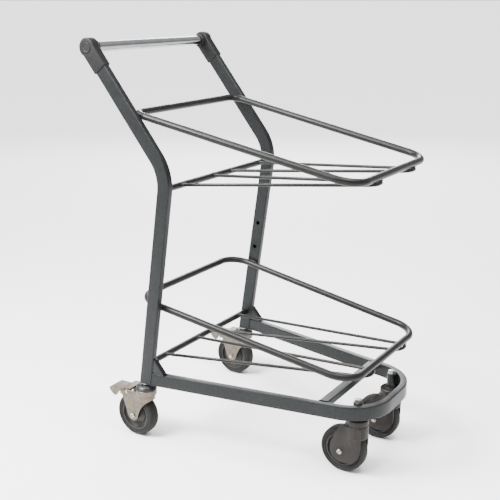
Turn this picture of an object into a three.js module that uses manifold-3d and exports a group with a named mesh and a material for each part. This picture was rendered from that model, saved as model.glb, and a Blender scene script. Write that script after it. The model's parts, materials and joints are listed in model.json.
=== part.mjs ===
// A two-tier basket trolley: two bent uprights on a U-shaped base, two open tube rings that each
// hold a hand basket, wire floors under them, a handle bar, and four swivel castors.
// Units are millimetres. +Z is up, +X is the front, and the left side is +Y.
import * as THREE from 'three';
import { mergeVertices } from 'three/addons/utils/BufferGeometryUtils.js';
import Module from 'manifold-3d';

const wasm = await Module();
wasm.setup();

// ---- driving dimensions ------------------------------------------------------------------------
const rearToOrigin = -191; // the rear swivel axes, measured from the middle of the whole trolley
const gap = 0.3; // between pieces that touch
const overcut = 10; // how far a cutting tool runs past the piece it cuts

const tube = { depth: 30, thickness: 15, wall: 1.5 }; // flat-sided tube of the uprights and base
const upright = {
  centreY: 199.5,
  foot: [3.7, 131],
  knee: [75.7, 611.5],
  bendRadius: 95,
  hookHoles: { heights: [358, 420], radius: 5 },
};
const handle = { centre: [-117.8, 856.6], radius: 11, wall: 1.5, halfLength: 204 };
const joint = {
  domeRadius: 20, sleeveLength: 55, sleeveWidth: 34.3, innerY: 189.9, outerY: 209.1,
  collarRadius: 15, collarY: 180, capRadius: 11.5, capDepth: 2,
};
const base = {
  lowZ: 131, sideY: 203.9, taper: 0.1937, frontX: 510.5, cornerRadius: 92.5,
  crossX: 404.5, crossWidth: 20, crossHeight: 15,
};
const gusset = { height: 32, length: 33, toe: 3, topLength: 8, thickness: 12, centreY: 198.5 };
const railRadius = 7.5;
const railWall = 1.5;
const upperTier = {
  rear: [-17, 726.7], front: [486, 630], rearY: 184.2, frontY: 169, rearBend: 25, frontBend: 48,
  crossbar: [70.4, 579.4], rodRise: 1.5, rodOuterY: 150, rodInnerY: 33,
};
const lowerTier = {
  rear: [-24.2, 323.5], front: [487, 240.3], rearY: 186, frontY: 163, rearBend: 48, frontBend: 52,
  crossbar: [11.65, 179.9], rodRise: 5, rodOuterY: 147, rodInnerY: 28,
};
const crossbarRadius = 7;
const rod = { radius: 3.5, tipOuterY: 98, tipInnerY: 62, tipBend: 17, reach: 6 };

const wheel = { radius: 50, room: 3, tyreSegments: 32, coreSegments: 20 };
// Half sections of the tyre and the wheel core, as [radius, half width] pairs from the inside out.
const tyreSection = [[37.3, 13], [43, 15], [48.2, 13], [50, 7]];
const coreSection = [[6.3, 14.5], [12, 14.5], [12, 6], [33, 6], [33, 12.5], [37, 12.5]];
const axle = { z: 50, radius: 4, bushRadius: 6, headRadius: 6, headLength: 4.5, threadBeyond: 1.5 };

// Side outlines are lists of corners seen from the right, measured from the swivel axis and the
// floor. An entry of four numbers is a curve: its control point, then its end.
const frontCastor = {
  x: 467, y: 84, trail: 28, crownRadius: 24, crownLow: 84, crownTop: 128, neckRadius: 14,
  plateInner: 17.5, plateThickness: 4, boltRadius: 6, sleeveRadius: 10.2,
  headRadius: 8.7, headHeight: 7, nutRadius: 10.2, nutRoom: 11.5, nutLow: 104.5, nutHeight: 9,
};
const frontPlate = [
  [17, 112], [-26, 112], [-40, 92], [-51, 62], [-54, 44, -46, 35], [-38, 25, -20, 25], [14, 27, 17, 60],
];
const rearCastor = {
  x: 0, y: 198.2, trail: 26, plateInner: 17.2, plateThickness: 2.5, webLow: 104.5, webHigh: 107.5,
  webRear: -24, stemRadius: 4, stemTop: 160, kingpinRadius: 5, stemBlockHeight: 34,
};
const rearLeg = [
  [20, 107], [14, 110], [-34, 108], [-42, 109.6], [-48, 107], [-53, 102.5], [-57, 98],
  [-51, 84, -43, 60], [-38, 38, -26, 38], [-14, 38, -10, 56], [0, 84, 20, 93],
];
// Turned pieces of the swivel, as [radius, height] pairs.
const raceSection = [[0, 107], [17, 107], [19, 104], [24, 104], [24, 116.4], [19, 110], [0, 110]];
const capSection = [[16, 111], [18.4, 117], [24, 117], [22, 123.5], [14, 127.6]];
const kingpinFoot = [[0, 101.8], [7, 101.8], [8, 104.2], [5, 104.2], [5, 128], [9, 128]];
const kingpinFlangeRadius = 9;

const pedal = { pivot: [-42, 104], pinRadius: 2, halfWidth: 19.5, sheet: 2.2, lockAngle: 12 };
const pedalTreadle = [
  [-27, 117.5], [-47, 116], [-57, 107.6], [-89, 107], [-94.5, 100],
  [-92.6, 99], [-88, 104.8], [-56.2, 105.4], [-46.3, 113.8], [-27, 115.3],
];
const pedalCheek = [[-62, 106.5], [-89.5, 106], [-92.6, 100], [-86, 92], [-79, 87], [-73, 87.5], [-66, 98]];
const pedalLug = [[-33, 116], [-46, 114.9], [-51, 111], [-46.2, 102.8], [-42, 98, -37.8, 102.8]];
const brakeShoe = { rear: -70, front: -58, halfWidth: 10, low: 88, high: 106.5, gap: 1 };
const brakePinHead = { radius: 3.4, height: 1.2 };

const roundSteps = 6; // half the number of flats round a tube
const wireSteps = 4; // the same for thin wire
const bendSteps = 6; // straight runs in each bend
const castorSegments = 24; // flats round the crowns and races of the castors
const pinSegments = 16; // flats round bolts and holes
const smallSegments = 12; // flats round pins, bushes and nuts
const flatsAllowance = 1 / Math.cos(Math.PI / (2 * roundSteps)); // keeps a hole's flats off a bar

// ---- finishes ----------------------------------------------------------------------------------
const finish = (color, roughness, metalness) => (
  new THREE.MeshStandardMaterial({ color, roughness, metalness }));
const frameGrey = finish(0x6b7075, 0.45, 0.5);
const railGrey = finish(0x6e6e6c, 0.45, 0.5);
const chrome = finish(0xb9bcbd, 0.15, 1);
const jointPlastic = finish(0x3f3d3c, 0.6, 0);
const nylon = finish(0x4a4543, 0.55, 0);
const zinc = finish(0xa39c94, 0.4, 1);
const tyreRubber = finish(0x3c3d3b, 0.8, 0);
const corePlastic = finish(0x4a4a48, 0.6, 0);

// ---- paths and sections ------------------------------------------------------------------------
// A path of straight runs with a round bend at each inner corner. Each corner is
// [x, y, z, bend radius]. One extrusion step covers a straight run and several cover a bend.
class BentPath extends THREE.Curve {
  constructor(corners) {
    super();
    this.points = [];
    this.directions = [];
    const places = corners.map(([x, y, z]) => new THREE.Vector3(x, y, z));
    const last = places.length - 1;
    const heading = (from, to) => places[to].clone().sub(places[from]).normalize();
    this.add(places[0], heading(0, 1));
    for (let i = 1; i < last; i += 1) {
      this.addBend(places[i], heading(i - 1, i), heading(i, i + 1), corners[i][3]);
    }
    this.add(places[last], heading(last - 1, last));
  }

  add(point, direction) {
    this.points.push(point);
    this.directions.push(direction);
  }

  addBend(corner, arriving, leaving, radius) {
    const turn = arriving.angleTo(leaving);
    const start = corner.clone().addScaledVector(arriving, -radius * Math.tan(turn / 2));
    const inward = leaving.clone().addScaledVector(arriving, -arriving.dot(leaving)).normalize();
    const centre = start.clone().addScaledVector(inward, radius);
    for (let step = 0; step <= bendSteps; step += 1) {
      const angle = (turn * step) / bendSteps;
      const point = centre.clone()
        .addScaledVector(inward, -radius * Math.cos(angle))
        .addScaledVector(arriving, radius * Math.sin(angle));
      const direction = arriving.clone().multiplyScalar(Math.cos(angle))
        .addScaledVector(inward, Math.sin(angle));
      this.add(point, direction);
    }
  }

  get steps() {
    return this.points.length - 1;
  }

  getUtoTmapping(u) {
    return u;
  }

  between(list, t, target) {
    const place = t * this.steps;
    const index = Math.min(Math.floor(place + 1e-9), this.steps - 1);
    return target.lerpVectors(list[index], list[index + 1], place - index);
  }

  getPoint(t, target = new THREE.Vector3()) {
    return this.between(this.points, t, target);
  }

  getTangent(t, target = new THREE.Vector3()) {
    return this.between(this.directions, t, target).normalize();
  }
}

function circlePath(PathClass, radius) {
  return new PathClass().absarc(0, 0, radius, 0, 2 * Math.PI);
}

function roundSection(radius, wall = 0) {
  const section = circlePath(THREE.Shape, radius);
  if (wall > 0) {
    section.holes.push(circlePath(THREE.Path, radius - wall));
  }
  return section;
}

function rectanglePath(PathClass, width, height) {
  return new PathClass([
    new THREE.Vector2(-width / 2, -height / 2), new THREE.Vector2(width / 2, -height / 2),
    new THREE.Vector2(width / 2, height / 2), new THREE.Vector2(-width / 2, height / 2),
  ]);
}

function flatSection(width, height, wall = 0) {
  const section = rectanglePath(THREE.Shape, width, height);
  if (wall > 0) {
    section.holes.push(rectanglePath(THREE.Path, width - 2 * wall, height - 2 * wall));
  }
  return section;
}

function sweep(section, path, curveSegments = roundSteps) {
  return new THREE.ExtrudeGeometry(section, { steps: path.steps, extrudePath: path, curveSegments });
}

// ---- simple solids -----------------------------------------------------------------------------
function box(low, high) {
  const size = high.map((value, axis) => value - low[axis]);
  const centre = high.map((value, axis) => (value + low[axis]) / 2);
  return new THREE.BoxGeometry(...size).translate(...centre);
}

// A solid or ring turned about an axis through the origin. The outline holds [radius, along]
// pairs, anticlockwise. The axis is Y, or Z where isUpright is true.
function turned(outline, segments, isUpright = false) {
  const points = outline.map(([radius, along]) => new THREE.Vector2(radius, along));
  const closed = outline[0][0] === 0 ? points : [...points, points[0].clone()];
  const geometry = new THREE.LatheGeometry(closed, segments);
  return isUpright ? geometry.rotateX(Math.PI / 2) : geometry;
}

function ring(inner, outer, low, high, segments = castorSegments) {
  const outline = inner > 0
    ? [[inner, low], [outer, low], [outer, high], [inner, high]]
    : [[0, low], [outer, low], [outer, high], [0, high]];
  return turned(outline, segments, true);
}

function crossPin(x, z, radius, halfLength, segments = castorSegments) {
  return turned([[0, -halfLength], [radius, -halfLength], [radius, halfLength], [0, halfLength]], segments)
    .translate(x, 0, z);
}

// A flat plate standing in the XZ plane, from lowY to highY.
function plate(outline, lowY, highY) {
  const settings = { depth: highY - lowY, bevelEnabled: false, curveSegments: roundSteps };
  return new THREE.ExtrudeGeometry(outline, settings).rotateX(Math.PI / 2).translate(0, highY, 0);
}

// A closed outline from corners [x, z] and curves [control x, control z, end x, end z].
function outlined(entries) {
  const shape = new THREE.Shape();
  shape.moveTo(...entries[0]);
  for (const entry of entries.slice(1)) {
    if (entry.length === 2) {
      shape.lineTo(...entry);
    } else {
      shape.quadraticCurveTo(...entry);
    }
  }
  return shape;
}

// ---- joining and cutting -----------------------------------------------------------------------
function toSolid(geometry) {
  const bare = geometry.clone();
  bare.deleteAttribute('normal');
  bare.deleteAttribute('uv');
  const merged = mergeVertices(bare, 1e-4);
  return new wasm.Manifold(new wasm.Mesh({
    numProp: 3,
    vertProperties: new Float32Array(merged.attributes.position.array),
    triVerts: new Uint32Array(merged.index.array),
  }));
}

function fromSolid(solid) {
  const mesh = solid.getMesh();
  const geometry = new THREE.BufferGeometry();
  geometry.setAttribute('position', new THREE.BufferAttribute(mesh.vertProperties, 3));
  geometry.setIndex(new THREE.BufferAttribute(mesh.triVerts, 1));
  return geometry;
}

function joined(...geometries) {
  return fromSolid(geometries.map(toSolid).reduce((total, next) => total.add(next)));
}

function cut(geometry, ...tools) {
  return fromSolid(tools.map(toSolid).reduce((total, next) => total.subtract(next), toSolid(geometry)));
}

function overlap(geometry, other) {
  return fromSolid(toSolid(geometry).intersect(toSolid(other)));
}

// ---- the scene graph ---------------------------------------------------------------------------
const trolley = new THREE.Group();
trolley.position.x = rearToOrigin;

function addPiece(parent, name, geometry, material) {
  const piece = new THREE.Mesh(geometry, material.clone());
  piece.name = name;
  parent.add(piece);
}

const sides = [['left', 1], ['right', -1]];

// ---- uprights ----------------------------------------------------------------------------------
const lean = Math.atan2(upright.knee[0] - upright.foot[0], upright.knee[1] - upright.foot[1]);
const handleLean = Math.atan2(upright.knee[0] - handle.centre[0], handle.centre[1] - upright.knee[1]);

// A point on the lower straight run of an upright, at height z.
function uprightX(z) {
  return upright.foot[0] + Math.tan(lean) * (z - upright.foot[1]);
}

// A point on the line from the handle bar down the upper run, at a distance below the bar.
function belowHandle(distance) {
  return [
    handle.centre[0] + Math.sin(handleLean) * distance,
    handle.centre[1] - Math.cos(handleLean) * distance,
  ];
}

function uprightPath(y, topClearance) {
  const bottomZ = upright.foot[1] - overcut;
  const [topX, topZ] = belowHandle(topClearance);
  return new BentPath([
    [uprightX(bottomZ), y, bottomZ],
    [upright.knee[0], y, upright.knee[1], upright.bendRadius],
    [topX, y, topZ],
  ]);
}

function addUprights() {
  for (const [side, sign] of sides) {
    const y = sign * upright.centreY;
    const section = flatSection(tube.thickness, tube.depth, tube.wall);
    const floorCut = box([-200, y - 50, 0], [200, y + 50, upright.foot[1]]);
    const holes = upright.hookHoles.heights.map((z) => (
      crossPin(uprightX(z), z, upright.hookHoles.radius, tube.thickness / 2, pinSegments)
        .translate(0, sign * (upright.centreY - tube.thickness / 2), 0)));
    const topClearance = handle.radius + 4;
    addPiece(trolley, `upright_${side}`,
      cut(sweep(section, uprightPath(y, topClearance)), floorCut, ...holes), frameGrey);
  }
}

// ---- base --------------------------------------------------------------------------------------
function basePath() {
  const startX = 0;
  const startY = base.sideY;
  const cornerY = base.sideY - base.taper * base.frontX;
  const z = base.lowZ + tube.depth / 2;
  return new BentPath([
    [startX, startY, z],
    [base.frontX, cornerY, z, base.cornerRadius],
    [base.frontX, -cornerY, z, base.cornerRadius],
    [startX, -startY, z],
  ]);
}

// Everything behind the front faces of the uprights, grown by the gap.
function behindUprights() {
  const reach = 300;
  const front = tube.depth / 2 + gap;
  return box([-reach, -reach, -reach], [front, reach, reach])
    .rotateY(lean).translate(upright.foot[0], 0, upright.foot[1]);
}

function addBase() {
  const section = flatSection(tube.depth, tube.thickness, tube.wall);
  addPiece(trolley, 'base_tube', cut(sweep(section, basePath()), behindUprights()), frameGrey);

  const envelope = sweep(flatSection(tube.depth + 2 * gap, tube.thickness + 2 * gap), basePath());
  const topZ = base.lowZ + tube.depth;
  const halfSpan = base.sideY - base.taper * base.crossX;
  const crossZ = topZ - base.crossHeight / 2;
  const crossPath = new BentPath([[base.crossX, -halfSpan, crossZ], [base.crossX, halfSpan, crossZ]]);
  const crossSection = flatSection(base.crossHeight, base.crossWidth, tube.wall);
  addPiece(trolley, 'base_cross_tube', cut(sweep(crossSection, crossPath), envelope), frameGrey);
}

function addGussets() {
  const lowZ = base.lowZ + tube.depth + gap;
  const corner = uprightX(lowZ) + tube.depth / 2;
  const topZ = lowZ + gusset.height;
  const outline = outlined([
    [corner - overcut, lowZ], [corner + gusset.length, lowZ], [corner + gusset.length, lowZ + gusset.toe],
    [corner + gusset.topLength, topZ], [corner - overcut, topZ],
  ]);
  for (const [side, sign] of sides) {
    const y = sign * gusset.centreY;
    const web = plate(outline, y - gusset.thickness / 2, y + gusset.thickness / 2);
    addPiece(trolley, `gusset_${side}`, cut(web, behindUprights()), frameGrey);
  }
}

// ---- basket rings and wire floors --------------------------------------------------------------
function ringPath(tier) {
  const [rearX, rearZ] = tier.rear;
  const [frontX, frontZ] = tier.front;
  return new BentPath([
    [rearX, gap / 2, rearZ],
    [rearX, tier.rearY, rearZ, tier.rearBend],
    [frontX, tier.frontY, frontZ, tier.frontBend],
    [frontX, -tier.frontY, frontZ, tier.frontBend],
    [rearX, -tier.rearY, rearZ, tier.rearBend],
    [rearX, -gap / 2, rearZ],
  ]);
}

function rodPath(tier, sign) {
  const startX = tier.crossbar[0] + crossbarRadius + gap;
  const startZ = tier.crossbar[1] + tier.rodRise;
  const underFrontZ = tier.front[1] - railRadius - rod.radius - gap;
  const slope = (underFrontZ - startZ) / (tier.front[0] - startX);
  const tipX = tier.front[0] + rod.reach;
  const tipZ = startZ + slope * (tipX - startX);
  return new BentPath([
    [startX, sign * tier.rodOuterY, startZ],
    [tipX, sign * rod.tipOuterY, tipZ, rod.tipBend],
    [tipX, sign * rod.tipInnerY, tipZ, rod.tipBend],
    [startX, sign * tier.rodInnerY, startZ],
  ]);
}

function addTier(name, tier) {
  addPiece(trolley, `${name}_rail`, sweep(roundSection(railRadius, railWall), ringPath(tier)), railGrey);
  const halfSpan = upright.centreY - tube.thickness / 2 - gap;
  const [x, z] = tier.crossbar;
  const crossbar = new BentPath([[x, -halfSpan, z], [x, halfSpan, z]]);
  addPiece(trolley, `${name}_crossbar`, sweep(roundSection(crossbarRadius, railWall), crossbar), railGrey);
  for (const [side, sign] of sides) {
    const wire = sweep(roundSection(rod.radius), rodPath(tier, sign), wireSteps);
    addPiece(trolley, `${name}_floor_rod_${side}`, wire, railGrey);
  }
}

// ---- handle ------------------------------------------------------------------------------------
// Turns a piece that hangs straight down from the origin to hang down the upper run of an upright.
function hungFromHandle(geometry) {
  return geometry.rotateY(-handleLean).translate(handle.centre[0], 0, handle.centre[1]);
}

function addHandle() {
  const [x, z] = handle.centre;
  const path = new BentPath([[x, -handle.halfLength, z], [x, handle.halfLength, z]]);
  addPiece(trolley, 'handle_bar', sweep(roundSection(handle.radius, handle.wall), path), chrome);
  for (const [side, sign] of sides) {
    addHandleJoint(side, sign);
  }
}

function addHandleJoint(side, sign) {
  const half = joint.sleeveWidth / 2;
  const outline = new THREE.Shape();
  outline.moveTo(half, -joint.sleeveLength);
  outline.lineTo(half, 0);
  outline.absarc(0, 0, joint.domeRadius, 0, Math.PI);
  outline.lineTo(-half, 0);
  outline.lineTo(-half, -joint.sleeveLength);
  const along = (inner, outer) => [sign * inner, sign * outer].sort((a, b) => a - b);
  const shell = plate(outline, ...along(joint.innerY, joint.outerY));
  const [collarLow, collarHigh] = along(joint.collarY, joint.innerY + 1);
  const collar = plate(roundSection(joint.collarRadius), collarLow, collarHigh);
  const boreRadius = (handle.radius + gap) * flatsAllowance;
  const bore = plate(roundSection(boreRadius), ...along(joint.collarY - overcut, handle.halfLength + gap));
  const capSeat = plate(
    roundSection(joint.capRadius + gap),
    ...along(joint.outerY - joint.capDepth - gap, joint.outerY + overcut));
  const pocket = box(
    [-tube.depth / 2 - gap, -tube.thickness / 2 - gap, -joint.sleeveLength - overcut],
    [tube.depth / 2 + gap, tube.thickness / 2 + gap, -handle.radius - 4 + gap])
    .translate(0, sign * upright.centreY, 0);
  const body = cut(joined(shell, collar), bore, capSeat, pocket);
  addPiece(trolley, `handle_joint_${side}`, hungFromHandle(body), jointPlastic);
  const cap = plate(roundSection(joint.capRadius), ...along(joint.outerY - joint.capDepth, joint.outerY + 1));
  addPiece(trolley, `handle_cap_${side}`, hungFromHandle(cap), jointPlastic);
}

// ---- wheels ------------------------------------------------------------------------------------
// The whole outline of a ring from half of it, as [radius, along] pairs.
function bothHalves(section) {
  return [...section.map(([radius, half]) => [radius, -half]), ...[...section].reverse()];
}

// The wheel, its bush, and the axle bolt and nut that clamp the bush between the fork plates.
function addWheel(castor, name, side, plateOuter) {
  const atAxle = (geometry) => geometry.translate(-castor.trail, 0, axle.z);
  const { group, sign } = castor;
  const tyre = turned(bothHalves(tyreSection), wheel.tyreSegments);
  addPiece(group, `${name}_tyre_${side}`, atAxle(tyre), tyreRubber);
  const core = turned(bothHalves(coreSection), wheel.coreSegments);
  addPiece(group, `${name}_wheel_${side}`, atAxle(core), corePlastic);
  const bushEnd = castor.plateInner - gap;
  const bush = turned(bothHalves([[axle.radius + gap, bushEnd], [axle.bushRadius, bushEnd]]), smallSegments);
  addPiece(group, `${name}_bush_${side}`, atAxle(bush), zinc);
  const headStart = plateOuter + gap;
  const headEnd = headStart + axle.headLength;
  const threadEnd = -headStart - axle.threadBeyond;
  const bolt = turned([
    [0, threadEnd], [axle.radius, threadEnd], [axle.radius, headStart],
    [axle.headRadius, headStart], [axle.headRadius, headEnd], [0, headEnd],
  ], smallSegments);
  addPiece(group, `${name}_axle_bolt_${side}`, atAxle(bolt.rotateZ(sign > 0 ? 0 : Math.PI)), zinc);
  const nutInner = axle.radius + gap;
  const nut = turned([
    [nutInner, -headEnd], [axle.headRadius, -headEnd], [axle.headRadius, -headStart], [nutInner, -headStart],
  ], smallSegments);
  addPiece(group, `${name}_axle_nut_${side}`, atAxle(nut.rotateZ(sign > 0 ? 0 : Math.PI)), zinc);
}

function castorGroup(castor, sign) {
  const group = new THREE.Group();
  group.position.set(castor.x, sign * castor.y, 0);
  trolley.add(group);
  return { ...castor, group, sign };
}

function axleHole(castor) {
  return crossPin(-castor.trail, axle.z, axle.radius + gap, 2 * castor.plateInner, pinSegments);
}

function bothPlates(outline, inner, thickness) {
  return [plate(outline, inner, inner + thickness), plate(outline, -inner - thickness, -inner)];
}

// ---- front castors: moulded forks under welded sleeves -----------------------------------------
function frontFork(castor) {
  const { crownRadius, crownLow, crownTop, neckRadius, plateInner, plateThickness } = castor;
  const crown = ring(0, crownRadius, crownLow, crownTop);
  const neck = ring(0, neckRadius, crownTop - 1, base.lowZ - gap);
  const solid = joined(crown, neck, ...bothPlates(outlined(frontPlate), plateInner, plateThickness));
  const nutRoom = ring(0, castor.nutRoom, crownLow - overcut, castor.nutLow + castor.nutHeight + gap);
  const boltRoom = ring(0, castor.boltRadius + gap, crownLow, crownTop + overcut);
  const roomRadius = wheel.radius + wheel.room;
  const wheelRoom = crossPin(-castor.trail, axle.z, roomRadius, plateInner, wheel.tyreSegments);
  return cut(solid, wheelRoom, nutRoom, boltRoom, axleHole(castor));
}

function addFrontCastors() {
  for (const [side, sign] of sides) {
    const castor = castorGroup(frontCastor, sign);
    const { group, boltRadius, sleeveRadius, nutLow, nutHeight } = castor;
    const topZ = base.lowZ + tube.depth;
    const sleeve = ring(boltRadius + gap, sleeveRadius, base.lowZ, topZ, pinSegments);
    addPiece(group, `castor_sleeve_${side}`, sleeve, frameGrey);
    const shank = ring(0, boltRadius, nutLow, topZ + 1, pinSegments);
    const head = ring(0, castor.headRadius, topZ + gap, topZ + castor.headHeight, 6);
    addPiece(group, `front_castor_bolt_${side}`, joined(shank, head), zinc);
    const nut = ring(boltRadius + gap, castor.nutRadius, nutLow, nutLow + nutHeight, smallSegments);
    addPiece(group, `front_castor_nut_${side}`, nut, zinc);
    addPiece(group, `front_fork_${side}`, frontFork(castor), nylon);
    addWheel(castor, 'front', side, castor.plateInner + castor.plateThickness);
  }
}

// ---- rear castors: pressed-steel forks with brake pedals ---------------------------------------
// The legs run straight beside the wheel and wrap round the swivel in front, where the side
// outline trims them to an arch over the tyre.
function rearSkirt(castor) {
  const outer = castor.plateInner + castor.plateThickness;
  const rear = -4 * outer;
  const topZ = 2 * wheel.radius + 2 * overcut;
  const behind = box([rear, -outer - 1, -1], [0, outer + 1, topZ + 1]);
  const wrap = cut(ring(castor.plateInner, outer, 0, topZ), behind);
  const legs = [castor.plateInner, -outer].map((y) => (
    box([rear, y, 0], [1, y + castor.plateThickness, topZ])));
  return overlap(joined(wrap, ...legs), plate(outlined(rearLeg), -2 * outer, 2 * outer));
}

function rearFork(castor) {
  const { plateInner, kingpinRadius, webLow, webHigh, webRear } = castor;
  const race = turned(raceSection, castorSegments, true);
  const webHalf = plateInner + castor.plateThickness / 2;
  const topWeb = box([webRear, -webHalf, webLow], [0, webHalf, webHigh]);
  const nose = ring(0, webHalf, webLow, webHigh);
  const [pivotX, pivotZ] = pedal.pivot;
  return cut(
    joined(race, topWeb, nose, rearSkirt(castor)),
    axleHole(castor),
    crossPin(pivotX, pivotZ, pedal.pinRadius + gap, 2 * plateInner, pinSegments),
    ring(0, kingpinRadius + gap, webLow - overcut, axle.z + 2 * wheel.radius, pinSegments),
  );
}

function kingpin({ stemRadius, stemTop }) {
  const flangeTop = base.lowZ - gap;
  return turned([
    ...kingpinFoot, [kingpinFlangeRadius, flangeTop],
    [stemRadius, flangeTop], [stemRadius, stemTop], [0, stemTop],
  ], smallSegments, true);
}

function swivelCap(castor) {
  const inner = castor.kingpinRadius + gap;
  const [first, last] = [capSection[0][1], capSection[capSection.length - 1][1]];
  return turned([[inner, first], ...capSection, [inner, last]], castorSegments, true);
}

// A solid block inside the bottom of the upright, bored for the stem.
function stemBlock(castor, sign) {
  const height = castor.stemBlockHeight;
  const halfDepth = tube.depth / 2 - tube.wall - gap;
  const halfThickness = tube.thickness / 2 - tube.wall - gap;
  const block = box([-halfDepth, -halfThickness, -overcut], [halfDepth, halfThickness, height])
    .rotateY(lean).translate(upright.foot[0], sign * (upright.centreY - castor.y), upright.foot[1]);
  const floorCut = box([-100, -50, 0], [100, 50, base.lowZ + gap]);
  const bore = ring(0, castor.stemRadius + gap, base.lowZ - overcut, castor.stemTop + gap, pinSegments);
  return cut(block, floorCut, bore);
}

// The shoe under the treadle is trimmed to the tyre as it lies when the pedal is fully down.
function shoe(castor) {
  const [pivotX, pivotZ] = pedal.pivot;
  const { rear, front, halfWidth, low, high } = brakeShoe;
  const lockTurn = THREE.MathUtils.degToRad(pedal.lockAngle);
  const tyreX = -castor.trail - pivotX;
  const lockedTyre = crossPin(tyreX, axle.z - pivotZ, wheel.radius + brakeShoe.gap, 2 * halfWidth, 48)
    .rotateY(lockTurn).translate(pivotX, 0, pivotZ);
  return cut(box([rear, -halfWidth, low], [front, halfWidth, high]), lockedTyre);
}

function brakePedal(castor) {
  const { halfWidth, sheet } = pedal;
  const lugInner = castor.plateInner - gap - sheet;
  const body = joined(
    plate(outlined(pedalTreadle), -halfWidth, halfWidth),
    ...bothPlates(outlined(pedalLug), lugInner, sheet),
    ...bothPlates(outlined(pedalCheek), halfWidth - sheet, sheet),
    shoe(castor),
  );
  return cut(body, crossPin(...pedal.pivot, pedal.pinRadius + gap, halfWidth, pinSegments));
}

function brakePin(castor) {
  const headInner = castor.plateInner + castor.plateThickness + gap;
  const headOuter = headInner + brakePinHead.height;
  const half = [[0, headOuter], [brakePinHead.radius, headOuter], [brakePinHead.radius, headInner]];
  const outline = bothHalves([...half, [pedal.pinRadius, headInner]]);
  return turned(outline, smallSegments).translate(pedal.pivot[0], 0, pedal.pivot[1]);
}

function addRearCastors() {
  for (const [side, sign] of sides) {
    const castor = castorGroup(rearCastor, sign);
    const { group } = castor;
    addPiece(group, `stem_block_${side}`, stemBlock(castor, sign), zinc);
    addPiece(group, `rear_kingpin_${side}`, kingpin(castor), zinc);
    addPiece(group, `rear_swivel_cap_${side}`, swivelCap(castor), zinc);
    addPiece(group, `rear_fork_${side}`, rearFork(castor), zinc);
    addPiece(group, `brake_pedal_${side}`, brakePedal(castor), zinc);
    addPiece(group, `brake_pin_${side}`, brakePin(castor), zinc);
    addWheel(castor, 'rear', side, castor.plateInner + castor.plateThickness);
  }
}

addUprights();
addBase();
addGussets();
addTier('upper', upperTier);
addTier('lower', lowerTier);
addHandle();
addFrontCastors();
addRearCastors();

const model = new THREE.Group();
model.add(trolley);

export default model;
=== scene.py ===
import json
import math

import bmesh
import bpy
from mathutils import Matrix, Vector, noise


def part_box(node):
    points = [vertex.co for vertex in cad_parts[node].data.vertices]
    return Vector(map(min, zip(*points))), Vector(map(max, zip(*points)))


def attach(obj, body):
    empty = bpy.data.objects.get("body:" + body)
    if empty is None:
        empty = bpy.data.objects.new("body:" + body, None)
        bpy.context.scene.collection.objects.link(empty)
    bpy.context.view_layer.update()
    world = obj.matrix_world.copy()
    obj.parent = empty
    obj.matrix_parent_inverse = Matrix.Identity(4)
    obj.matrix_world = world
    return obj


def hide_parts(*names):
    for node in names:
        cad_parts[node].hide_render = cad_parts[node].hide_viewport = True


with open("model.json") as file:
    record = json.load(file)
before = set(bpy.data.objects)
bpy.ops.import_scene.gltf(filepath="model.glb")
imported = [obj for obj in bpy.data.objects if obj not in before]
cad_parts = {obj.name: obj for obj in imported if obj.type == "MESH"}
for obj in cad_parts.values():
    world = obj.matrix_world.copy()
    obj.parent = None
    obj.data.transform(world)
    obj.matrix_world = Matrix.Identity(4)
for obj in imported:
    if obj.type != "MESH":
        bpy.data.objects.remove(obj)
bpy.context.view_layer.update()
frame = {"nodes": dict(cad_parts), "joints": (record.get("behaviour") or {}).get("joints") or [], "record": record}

# Looks for the two-tier basket trolley. Shapes are typed in millimetres, with x counted from the
# rear swivel axes, and turned to metres in the shared frame by at() and around().
joints = {joint["name"]: Vector(joint["pos_m"]) for joint in frame["joints"]}
rearX = joints["rear_swivel_left_turn"].x
sides = {"left": 1, "right": -1}


def at(x, y, z):
    return Vector((rearX + x / 1000, y / 1000, z / 1000))


# ---- camera, floor and light
shot = {
    "azimuth": 32.98, "elevation": 16.48, "distance": 1.8941,  # degrees and metres
    "target": (148.4, 0, 413.8), "lens": 60.93, "sensor": 36,
}
studio = {
    "floorSize": 4000, "floorHex": "#f6f6f6",  # metres, so wide that its edge is the horizon
    "brightSide": (-0.4, -0.1, 0.9), "dimmest": 0.4, "brightest": 1.3,
    "silkFrom": (-0.4, -0.35, 0.85), "silkSpread": 55, "silkStrength": 6.0,
}
# place and target in metres, width and height in metres, power in watts
softboxes = {
    "key softbox": ((-0.8, -1.05, 1.5), (-0.2, 0, 0.72), (0.7, 0.5), 95),
    "top softbox": ((0.7, -0.1, 2.0), (0.25, 0, 0.2), (0.6, 0.6), 50),
    "rim softbox": ((-2.0, 3.2, 1.8), (0, 0, 0.3), (2.2, 0.7), 110),
}


def linear(hexColour, alpha=1.0):
    channels = [int(hexColour[i:i + 2], 16) / 255 for i in (1, 3, 5)]
    return tuple(c / 12.92 if c <= 0.04045 else ((c + 0.055) / 1.055) ** 2.4 for c in channels) + (alpha,)


def addNode(tree, kind, inputs=None, **settings):
    made = tree.nodes.new(kind)
    for key, value in settings.items():
        setattr(made, key, value)
    for key, value in (inputs or {}).items():
        if isinstance(value, bpy.types.NodeSocket):
            tree.links.new(value, made.inputs[key])
        else:
            made.inputs[key].default_value = value
    return made


def newMaterial(name):
    material = bpy.data.materials.new(name)
    material.use_nodes = True
    material.node_tree.nodes.clear()
    return material, material.node_tree


def finishMaterial(tree, shader):
    addNode(tree, "ShaderNodeOutputMaterial", {"Surface": shader.outputs[0]})


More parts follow.
